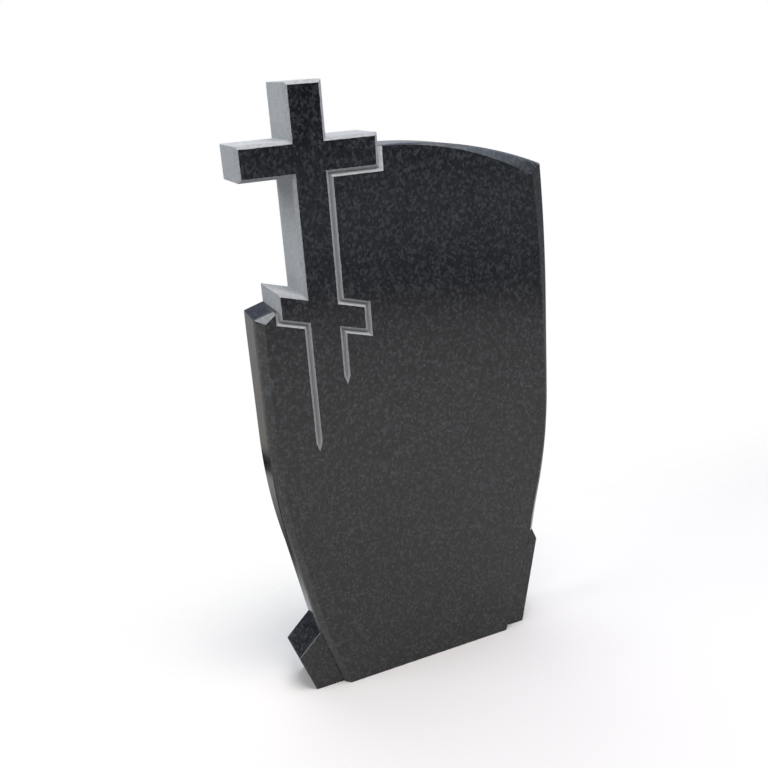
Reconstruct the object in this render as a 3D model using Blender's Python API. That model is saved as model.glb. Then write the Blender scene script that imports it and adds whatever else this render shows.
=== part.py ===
"""Headstone of dark gabbro, cut from one slab: a stele with a cross at its upper left.

Metres, +Z up. The front faces -Y, the origin is on the ground under the middle of the stone.
The stele, its two feet and the cross are one stone, so they become one solid.
"""
import math

import bmesh
import bpy
from mathutils import Vector

# The slab that the stone was cut from
THICKNESS = 0.080
HEIGHT = 0.9695
HALF_WIDTH = 0.2463

# Sides of the stele: straight at the belly, an arc above it and an arc below it. Towards the
# feet the right side curves the other way, and the left side is straight
BELLY_LOW = 0.447
BELLY_HIGH = 0.600
UPPER_SIDE_RADIUS = 2.650
LOWER_SIDE_RADIUS = 0.890
SIDE_TURN = 0.255
RIGHT_FOOT_SIDE_RADIUS = 1.000
SIDE_LEAN = 0.0045
SIDE_STEPS = 24

# Top of the stele: an arc whose highest point lies a little left of the middle, and the cross's
# reach above it
CROSS_ABOVE_TOP = 0.0955
TOP_CREST_X = -0.030
TOP_RADIUS = 0.690
TOP_STEPS = 18

# Left shoulder, a short slope between the left side and the slanted bar of the cross
SHOULDER_HEIGHT = 0.651
SHOULDER_SLOPE = math.radians(13.7)

# Bevel round the front face: its depth, its width, and the wider places at the corners
BEVEL_DEPTH = 0.012
BEVEL_WIDTH = 0.011
BEVEL_WIDENS_FROM = 0.480
TOP_CORNER_BEVEL = 0.0236
SHOULDER_BEVEL = 0.014
SHOULDER_BEVEL_DROP = 0.006
SHOULDER_BEVEL_END_DROP = 0.0015
FRONT_TOP_DROP = 0.0008
FRONT_TOP_CREST_X = -0.040
FRONT_TOP_RADIUS = 0.500

# Foot of the front layer, which stands proud between the feet
LAYER_LEFT = 0.167
LAYER_RIGHT = 0.158
LAYER_KINK_RISE = 0.010

# Feet: where the side meets the foot, the foot's outer corner, and its base
FOOT_SETBACK = 0.0115
FOOT_OVERLAP = 0.030
LEFT_FOOT_INNER = (0.199, 0.107)
LEFT_FOOT_CORNER = (0.2380, 0.070)
LEFT_FOOT_BASE = 0.2140
RIGHT_FOOT_INNER_HEIGHT = 0.184
RIGHT_FOOT_CORNER = (0.2215, 0.162)
RIGHT_FOOT_BASE = 0.1885

# Cross: its polished face, inside the chamfer that runs all round it
GROOVE_DEPTH = 0.0045
SHAFT_WIDTH = 0.0454
ARM_LENGTH = 0.0766
ARM_HEIGHT = 0.0403
ARM_BELOW_TOP = 0.0766
SLANTED_BAR_LENGTH = 0.1276
SLANTED_BAR_HEIGHT = 0.0341
SLANTED_BAR_CENTRE = 0.6465
SLANTED_BAR_TILT = math.radians(15.8)

# The two grooves that run on below the cross, and the run-out at their points
LEFT_GROOVE_END = 0.433
RIGHT_GROOVE_END = 0.531
GROOVE_RUN_OUT = 0.014

CUTTER_OVERCUT = 0.002

# Points nearer together than this are one point
MERGE_DISTANCE = 0.00001

# Planes of the slab and of the cross, worked out from the sizes above
FRONT = -THICKNESS / 2
BACK = THICKNESS / 2
BEVEL_PLANE = FRONT + BEVEL_DEPTH
SHAFT_LEFT = -HALF_WIDTH + GROOVE_DEPTH + ARM_LENGTH
SHAFT_RIGHT = SHAFT_LEFT + SHAFT_WIDTH
SHAFT_CENTRE = (SHAFT_LEFT + SHAFT_RIGHT) / 2
BAR_LEFT = SHAFT_CENTRE - SLANTED_BAR_LENGTH / 2
BAR_RIGHT = SHAFT_CENTRE + SLANTED_BAR_LENGTH / 2
TOP_HEIGHT = HEIGHT - CROSS_ABOVE_TOP
CROSS_TOP = HEIGHT - GROOVE_DEPTH
ARM_TOP = CROSS_TOP - ARM_BELOW_TOP
ARM_BOTTOM = ARM_TOP - ARM_HEIGHT


def between(first, last, share):
    """The number a share of the way from first to last."""
    return first + (last - first) * share


def right_half_width(height):
    """The stele's reach to the right at a height, along the four stretches of its side."""
    if height > BELLY_HIGH:
        rise = height - BELLY_HIGH
        return HALF_WIDTH - UPPER_SIDE_RADIUS + math.sqrt(UPPER_SIDE_RADIUS ** 2 - rise ** 2)
    if height >= BELLY_LOW:
        return HALF_WIDTH
    drop = BELLY_LOW - max(height, SIDE_TURN)
    half_width = HALF_WIDTH - LOWER_SIDE_RADIUS + math.sqrt(LOWER_SIDE_RADIUS ** 2 - drop ** 2)
    if height >= SIDE_TURN:
        return half_width
    turn = math.asin(drop / LOWER_SIDE_RADIUS)
    centre_x = half_width + RIGHT_FOOT_SIDE_RADIUS * math.cos(turn)
    below = SIDE_TURN - RIGHT_FOOT_SIDE_RADIUS * math.sin(turn) - height
    return centre_x - math.sqrt(RIGHT_FOOT_SIDE_RADIUS ** 2 - below ** 2)


def left_half_width(height):
    """The stele's reach to the left: the same curve, with a straight stretch above the foot."""
    if height >= SIDE_TURN:
        return right_half_width(height)
    inner_x, inner_height = LEFT_FOOT_INNER
    share = (height - inner_height) / (SIDE_TURN - inner_height)
    return between(inner_x, right_half_width(SIDE_TURN), share)


def top_height(x):
    """Height of the stele's top edge at x."""
    return TOP_HEIGHT - TOP_RADIUS + math.sqrt(TOP_RADIUS ** 2 - (x - TOP_CREST_X) ** 2)


def front_top_height(x):
    """Height of the front face's top edge at x, below the bevel."""
    reach = math.sqrt(FRONT_TOP_RADIUS ** 2 - (x - FRONT_TOP_CREST_X) ** 2)
    return TOP_HEIGHT - FRONT_TOP_DROP - FRONT_TOP_RADIUS + reach


def top_corner():
    """Where the top arc meets the right side, found by halving."""
    low, high = BELLY_HIGH, TOP_HEIGHT
    for _ in range(40):
        middle = (low + high) / 2
        if top_height(right_half_width(middle)) > middle:
            low = middle
        else:
            high = middle
    return right_half_width(low), low


def bevel_width(height, corner_height, corner_width):
    """Width of the side's bevel, wider towards the corner above it."""
    share = max(0.0, (height - BEVEL_WIDENS_FROM) / (corner_height - BEVEL_WIDENS_FROM))
    return BEVEL_WIDTH + (corner_width - BEVEL_WIDTH) * share


def bar_edge(x, side):
    """Height of the slanted bar's upper (side 1) or lower (side -1) edge at x."""
    half = SLANTED_BAR_HEIGHT / 2
    return SLANTED_BAR_CENTRE - (x - SHAFT_CENTRE) * math.tan(SLANTED_BAR_TILT) + side * half


def shoulder_height(x):
    """Height of the left shoulder at x."""
    return SHOULDER_HEIGHT + (x + HALF_WIDTH) * math.tan(SHOULDER_SLOPE)


def stele_sections():
    """The stele's outline on its front face, on the bevel's inner plane and on its back.

    The three have a point for a point: up the right side, along the top, down inside the
    cross, over the shoulder and down the left side.
    """
    corner_x, corner_height = top_corner()
    front_corner_x = corner_x - TOP_CORNER_BEVEL
    front, middle, back = [], [], []

    def add(x, height, front_x, front_height, back_x):
        front.append((front_x, front_height))
        middle.append((x, height))
        back.append((back_x, height))

    add(LAYER_RIGHT, 0.0, LAYER_RIGHT - BEVEL_WIDTH, 0.0, LAYER_RIGHT)
    kink = RIGHT_FOOT_INNER_HEIGHT + LAYER_KINK_RISE
    for i in range(SIDE_STEPS + 1):
        share = i / SIDE_STEPS
        height = between(RIGHT_FOOT_INNER_HEIGHT, corner_height, share)
        front_height = between(kink, front_top_height(front_corner_x), share)
        x = right_half_width(height)
        bevel = bevel_width(height, corner_height, TOP_CORNER_BEVEL)
        add(x, height, x - bevel, front_height, x - SIDE_LEAN)

    for i in range(1, TOP_STEPS + 1):
        share = i / TOP_STEPS
        x = between(corner_x, SHAFT_CENTRE, share)
        front_x = between(front_corner_x, SHAFT_CENTRE, share)
        back_x = between(corner_x - SIDE_LEAN, SHAFT_CENTRE, share)
        add(x, top_height(x), front_x, front_top_height(front_x), back_x)

    inside_bar = (BAR_LEFT + SHAFT_LEFT) / 2
    groove_edge = BAR_LEFT - 2 * GROOVE_DEPTH
    edge_height = shoulder_height(groove_edge)
    add(SHAFT_CENTRE, SLANTED_BAR_CENTRE, SHAFT_CENTRE, SLANTED_BAR_CENTRE, SHAFT_CENTRE)
    add(inside_bar, shoulder_height(inside_bar), inside_bar, shoulder_height(inside_bar), inside_bar)
    add(groove_edge, edge_height, groove_edge, edge_height - SHOULDER_BEVEL_END_DROP, groove_edge)

    kink = LEFT_FOOT_INNER[1] + LAYER_KINK_RISE
    for i in range(SIDE_STEPS + 1):
        share = i / SIDE_STEPS
        height = between(SHOULDER_HEIGHT, LEFT_FOOT_INNER[1], share)
        front_height = between(SHOULDER_HEIGHT - SHOULDER_BEVEL_DROP, kink, share)
        x = -left_half_width(height)
        bevel = bevel_width(height, SHOULDER_HEIGHT, SHOULDER_BEVEL)
        add(x, height, x + bevel, front_height, x + SIDE_LEAN)
    add(-LAYER_LEFT, 0.0, BEVEL_WIDTH - LAYER_LEFT, 0.0, -LAYER_LEFT)
    return front, middle, back


def foot_outline(sign, base, corner, inner, layer):
    """A foot's outline: base, outer corner and sloped top, run on into the stele."""
    slope = (Vector(inner) - Vector(corner)).normalized()
    buried = Vector(inner) + slope * FOOT_OVERLAP
    inside = layer - FOOT_OVERLAP
    points = [(inside, 0.0), (base, 0.0), corner, (buried.x, buried.y), (inside, buried.y)]
    return [(sign * x, height) for x, height in points]


def cross_path():
    """Edge of the cross's polished face, from under the bar's left round to under its right."""
    arm_left = SHAFT_LEFT - ARM_LENGTH
    arm_right = SHAFT_RIGHT + ARM_LENGTH
    return [
        (SHAFT_LEFT, bar_edge(SHAFT_LEFT, -1)), (BAR_LEFT, bar_edge(BAR_LEFT, -1)),
        (BAR_LEFT, bar_edge(BAR_LEFT, 1)), (SHAFT_LEFT, bar_edge(SHAFT_LEFT, 1)),
        (SHAFT_LEFT, ARM_BOTTOM), (arm_left, ARM_BOTTOM), (arm_left, ARM_TOP), (SHAFT_LEFT, ARM_TOP),
        (SHAFT_LEFT, CROSS_TOP), (SHAFT_RIGHT, CROSS_TOP),
        (SHAFT_RIGHT, ARM_TOP), (arm_right, ARM_TOP), (arm_right, ARM_BOTTOM), (SHAFT_RIGHT, ARM_BOTTOM),
        (SHAFT_RIGHT, bar_edge(SHAFT_RIGHT, 1)), (BAR_RIGHT, bar_edge(BAR_RIGHT, 1)),
        (BAR_RIGHT, bar_edge(BAR_RIGHT, -1)), (SHAFT_RIGHT, bar_edge(SHAFT_RIGHT, -1)),
    ]


def groove_ends():
    """The points where the two grooves below the cross run out, on the shaft's lines."""
    return (SHAFT_LEFT, LEFT_GROOVE_END), (SHAFT_RIGHT, RIGHT_GROOVE_END)


def mitre(before, point, after):
    """The shift of a path's corner that moves both its edges out by one."""
    first = (Vector(point) - Vector(before)).normalized()
    second = (Vector(after) - Vector(point)).normalized()
    first_out = Vector((-first.y, first.x))
    total = first_out + Vector((-second.y, second.x))
    return total / total.dot(first_out)


def cross_outline():
    """Outline of the cross's sides, outside its chamfer, closed across the shaft."""
    path = cross_path()
    left_end, right_end = groove_ends()
    around = [left_end] + path + [right_end]
    outline = []
    for before, point, after in zip(around, path, around[2:]):
        outline.append(tuple(Vector(point) + mitre(before, point, after) * GROOVE_DEPTH))
    return outline


def new_collection(name):
    """A collection linked to the scene."""
    collection = bpy.data.collections.new(name)
    bpy.context.scene.collection.children.link(collection)
    return collection


def stone_material(name, colour, roughness):
    """One finish of the stone."""
    material = bpy.data.materials.new(name)
    material.use_nodes = True
    shader = material.node_tree.nodes["Principled BSDF"]
    shader.inputs["Base Color"].default_value = (*colour, 1.0)
    shader.inputs["Roughness"].default_value = roughness
    shader.inputs["Metallic"].default_value = 0.0
    material.diffuse_color = (*colour, 1.0)
    return material


def mesh_object(name, mesh, collection, materials):
    """An object for a mesh, with both finishes."""
    for material in materials:
        mesh.materials.append(material)
    piece = bpy.data.objects.new(name, mesh)
    collection.objects.link(piece)
    return piece


def outline_block(name, outline, front, back, collection, materials):
    """A flat outline as a filled curve, extruded from a front plane to a back one."""
    curve = bpy.data.curves.new(name, "CURVE")
    curve.dimensions = "2D"
    curve.fill_mode = "BOTH"
    curve.extrude = (back - front) / 2
    spline = curve.splines.new("POLY")
    spline.points.add(len(outline) - 1)
    for point, (x, height) in zip(spline.points, outline):
        point.co = (x, height, 0.0, 1.0)
    spline.use_cyclic_u = True
    drawn = bpy.data.objects.new(name + "_curve", curve)
    drawn.location = (0.0, (front + back) / 2, 0.0)
    drawn.rotation_euler = (math.radians(90), 0.0, 0.0)
    collection.objects.link(drawn)
    bpy.context.view_layer.update()

    evaluated = drawn.evaluated_get(bpy.context.evaluated_depsgraph_get())
    mesh = bpy.data.meshes.new_from_object(evaluated)
    shaped = bmesh.new()
    shaped.from_mesh(mesh)
    bmesh.ops.remove_doubles(shaped, verts=shaped.verts, dist=MERGE_DISTANCE)
    bmesh.ops.recalc_face_normals(shaped, faces=shaped.faces)
    shaped.to_mesh(mesh)
    shaped.free()
    mesh.materials.clear()
    block = mesh_object(name, mesh, collection, materials)
    block.matrix_world = drawn.matrix_world.copy()
    bpy.data.objects.remove(drawn)
    return block


def loft(name, sections, collection, materials):
    """A closed body through sections with a point for a point.

    A section whose points all lie in one place becomes a pointed end, and any other first or
    last section is closed with a face.
    """
    shaped = bmesh.new()
    rings = [[shaped.verts.new(point) for point in section] for section in sections]
    for ring, following in zip(rings, rings[1:]):
        for i in range(len(ring)):
            j = (i + 1) % len(ring)
            shaped.faces.new((ring[i], ring[j], following[j], following[i]))
    for ring, section in ((rings[0], sections[0]), (rings[-1], sections[-1])):
        if len(set(section)) > 1:
            shaped.faces.new(ring)
    bmesh.ops.remove_doubles(shaped, verts=shaped.verts, dist=MERGE_DISTANCE)
    bmesh.ops.recalc_face_normals(shaped, faces=shaped.faces)
    mesh = bpy.data.meshes.new(name)
    shaped.to_mesh(mesh)
    shaped.free()
    return mesh_object(name, mesh, collection, materials)


def mark_carved_sides(piece):
    """Give the carved finish to the faces that are neither front nor back."""
    for face in piece.data.polygons:
        normal = piece.matrix_world.to_3x3() @ face.normal
        face.material_index = 0 if abs(normal.y) > 0.9 else 1


def groove_cutter(collection, materials):
    """A V swept round the cross with mitred corners, running out to a point at both ends.

    Its inner slope is the chamfer of the cross. Where the cross lies in the stele, its outer
    slope cuts the other wall of the groove, and elsewhere it passes through air.
    """
    left_end, right_end = groove_ends()
    left_full = (left_end[0], left_end[1] + GROOVE_RUN_OUT)
    right_full = (right_end[0], right_end[1] + GROOVE_RUN_OUT)
    path = [left_full] + cross_path() + [right_full]
    around = [left_end] + path + [right_end]
    surface = FRONT - CUTTER_OVERCUT
    profile = ((-CUTTER_OVERCUT, surface), (GROOVE_DEPTH, FRONT + GROOVE_DEPTH),
               (2 * GROOVE_DEPTH + CUTTER_OVERCUT, surface))
    sections = []
    for before, point, after in zip(around, path, around[2:]):
        out = mitre(before, point, after)
        sections.append([(point[0] + out.x * offset, depth, point[1] + out.y * offset)
                         for offset, depth in profile])
    left_tip = (left_end[0] - GROOVE_DEPTH, FRONT, left_end[1])
    right_tip = (right_end[0] + GROOVE_DEPTH, FRONT, right_end[1])
    cutter = loft("groove_cutter", [[left_tip] * 3] + sections + [[right_tip] * 3], collection, materials)
    for face in cutter.data.polygons:
        face.material_index = 1
    return cutter


def boolean(piece, tool, operation):
    """Join a tool to a piece, or cut it away, keeping the tool's finish on its faces."""
    tool.hide_render = True
    tool.display_type = "WIRE"
    modifier = piece.modifiers.new(tool.name, "BOOLEAN")
    modifier.operation = operation
    modifier.solver = "EXACT"
    modifier.material_mode = "TRANSFER"
    modifier.object = tool


def build_headstone():
    """Model the stone: the stele, its feet and its cross, with the groove round the cross."""
    for old in list(bpy.data.objects):
        bpy.data.objects.remove(old)
    stone = new_collection("headstone")
    cutters = new_collection("headstone_cutters")
    polished = stone_material("polished_gabbro", (0.028, 0.031, 0.035), 0.15)
    carved = stone_material("carved_gabbro", (0.42, 0.43, 0.44), 0.75)
    finishes = (polished, carved)

    front, middle, back = stele_sections()
    planes = ((FRONT, front), (BEVEL_PLANE, middle), (BACK, back))
    sections = [[(x, depth, height) for x, height in outline] for depth, outline in planes]
    headstone = loft("headstone", sections, stone, finishes)

    foot_front = FRONT + FOOT_SETBACK
    right_inner = (right_half_width(RIGHT_FOOT_INNER_HEIGHT), RIGHT_FOOT_INNER_HEIGHT)
    left = foot_outline(-1, LEFT_FOOT_BASE, LEFT_FOOT_CORNER, LEFT_FOOT_INNER, LAYER_LEFT)
    right = foot_outline(1, RIGHT_FOOT_BASE, RIGHT_FOOT_CORNER, right_inner, LAYER_RIGHT)
    left_foot = outline_block("left_foot", left, foot_front, BACK, cutters, finishes)
    right_foot = outline_block("right_foot", right, foot_front, BACK, cutters, finishes)
    cross = outline_block("cross", cross_outline(), FRONT, BACK, cutters, finishes)
    mark_carved_sides(cross)
    grooves = groove_cutter(cutters, finishes)

    boolean(headstone, cross, "UNION")
    boolean(headstone, left_foot, "UNION")
    boolean(headstone, right_foot, "UNION")
    boolean(headstone, grooves, "DIFFERENCE")
    return headstone


build_headstone()
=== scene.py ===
"""A headstone of black gabbro: one slab with a cross standing out at its upper left.

The stone is polished on its front, its bevels and its sides. Where the cross was cut free, and in
the groove round it, the same stone is left matt and looks light grey. The back and the underside
are sawn.
"""
import logging
import math
from dataclasses import dataclass
from enum import Enum, IntEnum

import bmesh
import bpy
import numpy as np
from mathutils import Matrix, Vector


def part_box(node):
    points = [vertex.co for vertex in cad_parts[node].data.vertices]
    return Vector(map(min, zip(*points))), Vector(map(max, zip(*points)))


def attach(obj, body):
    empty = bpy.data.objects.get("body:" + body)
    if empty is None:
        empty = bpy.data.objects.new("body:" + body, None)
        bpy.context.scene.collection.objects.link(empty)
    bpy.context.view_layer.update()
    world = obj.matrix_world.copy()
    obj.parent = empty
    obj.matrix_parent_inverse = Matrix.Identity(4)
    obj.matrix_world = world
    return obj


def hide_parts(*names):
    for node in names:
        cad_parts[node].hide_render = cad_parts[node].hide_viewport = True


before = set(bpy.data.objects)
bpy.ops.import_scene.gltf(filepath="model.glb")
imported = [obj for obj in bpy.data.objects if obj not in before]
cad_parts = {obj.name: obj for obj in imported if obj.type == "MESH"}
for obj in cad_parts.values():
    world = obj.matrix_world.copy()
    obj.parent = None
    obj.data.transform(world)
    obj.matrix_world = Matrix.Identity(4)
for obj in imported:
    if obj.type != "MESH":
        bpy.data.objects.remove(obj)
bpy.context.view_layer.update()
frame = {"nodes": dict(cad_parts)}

Array = np.ndarray
Material = bpy.types.Material
Node = bpy.types.Node
NodeTree = bpy.types.NodeTree
Socket = bpy.types.NodeSocket

LOG = logging.getLogger("headstone")

MM = 0.001
ROUNDING_STEPS = 4
DOUBLES = 1e-7
SMOOTH_UP_TO = math.radians(35)


class Finish(IntEnum):
    """The finishes of the stone, in the order of the mesh's material slots."""

    POLISHED = 0
    FROSTED = 1
    GROOVE = 2
    SAWN = 3
    GROUND = 4
    # Near-white finish that paints a highlight where the groove starts at the stele's top.
    PAINTED_HIGHLIGHT = 5


class Hand(IntEnum):
    """The sides of the stone seen from the front, as the sign of x."""

    LEFT = -1
    RIGHT = 1


class Join(Enum):
    """How a solid is combined with another."""

    ADD = "UNION"
    CUT = "DIFFERENCE"


class Side(Enum):
    """The sides of the dome that have a ramp of light of their own."""

    AHEAD = "ahead"
    ASTERN = "astern"
    LEFT = "left"
    RIGHT = "right"


# Outlines and rings

def along(first: float, last: float, steps: int) -> Array:
    """Even values from first to last, both ends in."""
    return np.linspace(first, last, steps + 1)


def edge_mitres(ring: Array, closed: bool = True) -> Array:
    """Work out how each point of an outline moves when all its edges move outwards by one.

    Each edge's outward normal is its direction turned a quarter. A point's shift is the sum of
    the normals on its two sides, divided by that sum's share along either of them.

    Args:
        ring: Points (n, 2) in order; clockwise rings give shifts to the outside.
        closed: Whether the last point joins the first.

    Returns:
        Shifts (n, 2).
    """
    ahead = np.roll(ring, -1, axis=0) - ring
    ahead /= np.linalg.norm(ahead, axis=1, keepdims=True)
    normal = np.stack([-ahead[:, 1], ahead[:, 0]], axis=1)
    before = np.roll(normal, 1, axis=0)
    if not closed:
        before[0] = normal[0]
        normal[-1] = before[-1]
    total = before + normal
    return total / np.sum(total * before, axis=1, keepdims=True)


def parabola(start: Array, corner: Array, end: Array) -> Array:
    """Round a corner with the parabola that leaves start and reaches end along its two arms.

    The point at share s is (1-s)^2 start + 2s(1-s) corner + s^2 end.

    Args:
        start: Points (..., d) where the rounding begins.
        corner: Corner points, in the same shape.
        end: Points where the rounding ends, in the same shape.

    Returns:
        Points (ROUNDING_STEPS + 1, ..., d).
    """
    s = along(0.0, 1.0, ROUNDING_STEPS).reshape((-1,) + (1,) * start.ndim)
    return (1 - s) ** 2 * start + 2 * s * (1 - s) * corner + s ** 2 * end


def soften_corners(ring: Array, corners: list[int], reach: float) -> Array:
    """Round some corners of a closed outline, each with the parabola of the same reach.

    Args:
        ring: Points (n, d) of the outline.
        corners: Indices of the corners to round, in rising order.
        reach: How far along both edges a rounding begins.

    Returns:
        The longer outline.
    """
    stretches = []
    done = 0
    for i in corners:
        before = ring[i - 1] - ring[i]
        after = ring[(i + 1) % len(ring)] - ring[i]
        start = ring[i] + before / np.linalg.norm(before) * reach
        end = ring[i] + after / np.linalg.norm(after) * reach
        stretches += [ring[done:i], parabola(start, ring[i], end)]
        done = i + 1
    return np.concatenate(stretches + [ring[done:]])


def at_depth(ring: Array, depth: float) -> Array:
    """Stand an outline (x, height) up at a depth, as points (n, 3)."""
    return np.stack([ring[:, 0], np.full(len(ring), depth), ring[:, 1]], axis=1)


def rounded_through(stations: list[Array], front_in: Array, back_in: Array,
                    reaches: list[float]) -> Array:
    """Carry an outline through the slab, with a rounded arris at each station.

    Each arris is a parabola between points at its reach along the two faces that meet there. The
    reach is no more than a share of the way to the next station.

    Args:
        stations: Rings (n, 3) where the surface turns, front first.
        front_in: The first ring moved inwards on the front face by the first reach.
        back_in: The last ring moved inwards on the back face by the last reach.
        reaches: How far the rounding at each station runs on both sides of it.

    Returns:
        Rings (m, n, 3) from the front face to the back face.
    """
    most, tiny = 0.4, 1e-9
    rows = []
    around = [front_in] + stations + [back_in]
    for before, corner, after, reach in zip(around, stations, around[2:], reaches):
        back_arm = before - corner
        fore_arm = after - corner
        back_long = np.maximum(np.linalg.norm(back_arm, axis=1, keepdims=True), tiny)
        fore_long = np.maximum(np.linalg.norm(fore_arm, axis=1, keepdims=True), tiny)
        back_reach = back_long if before is front_in else np.minimum(reach, most * back_long)
        fore_reach = fore_long if after is back_in else np.minimum(reach, most * fore_long)
        start = corner + back_arm / back_long * back_reach
        end = corner + fore_arm / fore_long * fore_reach
        rows.append(parabola(start, corner, end))
    return np.concatenate(rows)


# Meshes

@dataclass
class Shell:
    """A surface before it is a mesh: vertices, faces of any length, and each face's finish."""

    name: str
    vertices: Array
    faces: list[list[int]]
    finishes: Array

    def to_object(self, materials: list[Material]) -> bpy.types.Object:
        """Make the object, with its doubles merged and its faces pointing outwards.

        Args:
            materials: The stone's finishes, in the order of Finish.

        Returns:
            The linked object, with its place in its mesh.
        """
        mesh = bpy.data.meshes.new(self.name)
        mesh.from_pydata(self.vertices.tolist(), [], self.faces)
        for material in materials:
            mesh.materials.append(material)
        mesh.polygons.foreach_set("material_index", self.finishes.astype(np.int32))
        shaped = bmesh.new()
        shaped.from_mesh(mesh)
        bmesh.ops.remove_doubles(shaped, verts=shaped.verts, dist=DOUBLES)
        bmesh.ops.recalc_face_normals(shaped, faces=shaped.faces)
        shaped.to_mesh(mesh)
        shaped.free()
        piece = bpy.data.objects.new(self.name, mesh)
        bpy.context.scene.collection.objects.link(piece)
        return piece


def ring_quads(count: int, size: int) -> Array:
    """Join rings that have a point for a point with quads.

    Quad (r, c) joins points c and c+1 of rings r and r+1, and the last point joins the first.

    Args:
        count: Number of rings.
        size: Points in each ring.

    Returns:
        Point numbers ((count - 1) * size, 4).
    """
    row, column = np.meshgrid(np.arange(count - 1), np.arange(size), indexing="ij")
    following = (column + 1) % size
    corners = [row * size + column, row * size + following,
               (row + 1) * size + following, (row + 1) * size + column]
    return np.stack(corners, axis=-1).reshape(-1, 4)


def shell_from_rings(name: str, rings: Array, finishes: Array, front: Finish, back: Finish) -> Shell:
    """Skin rings that have a point for a point, and close both ends with a flat face.

    Args:
        name: Name of the shell.
        rings: Points (m, n, 3).
        finishes: Finish of each quad (m-1, n).
        front: Finish of the face on the first ring.
        back: Finish of the face on the last ring.

    Returns:
        The closed shell.
    """
    count, size = rings.shape[:2]
    first = list(range(size))
    last = list(range((count - 1) * size, count * size))
    marks = np.concatenate([finishes.ravel(), [front, back]])
    return Shell(name, rings.reshape(-1, 3), ring_quads(count, size).tolist() + [first, last], marks)


def apply_modifiers(piece: bpy.types.Object) -> None:
    """Bake an object's modifiers into its mesh.

    Args:
        piece: The object.
    """
    bpy.context.view_layer.update()
    evaluated = piece.evaluated_get(bpy.context.evaluated_depsgraph_get())
    result = bpy.data.meshes.new_from_object(evaluated)
    piece.modifiers.clear()
    piece.data = result


def combine(base: bpy.types.Object, tool: bpy.types.Object, join: Join) -> None:
    """Join a solid to the base, or cut it away, and remove the tool.

    Args:
        base: The object that stays.
        tool: The object that is joined or cut away.
        join: Whether it is joined or cut away.
    """
    modifier = base.modifiers.new(tool.name, "BOOLEAN")
    modifier.operation = join.value
    modifier.solver = "EXACT"
    modifier.material_mode = "TRANSFER"
    modifier.object = tool
    apply_modifiers(base)
    bpy.data.objects.remove(tool)


# The stone's parts

@dataclass
class Slab:
    """The slab's box, taken from the frame, and how far the polisher rounded edge and corner."""

    low: Vector
    high: Vector
    arris: float = 0.6 * MM
    corner_reach: float = 1.6 * MM

    @property
    def front(self) -> float:
        """Depth of the polished front face."""
        return self.low.y

    @property
    def back(self) -> float:
        """Depth of the back face."""
        return self.high.y

    @property
    def half_width(self) -> float:
        """Half the greatest width of the stele."""
        return (self.high.x - self.low.x) / 2

    @property
    def height(self) -> float:
        """Height of the cross's top."""
        return self.high.z


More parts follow.
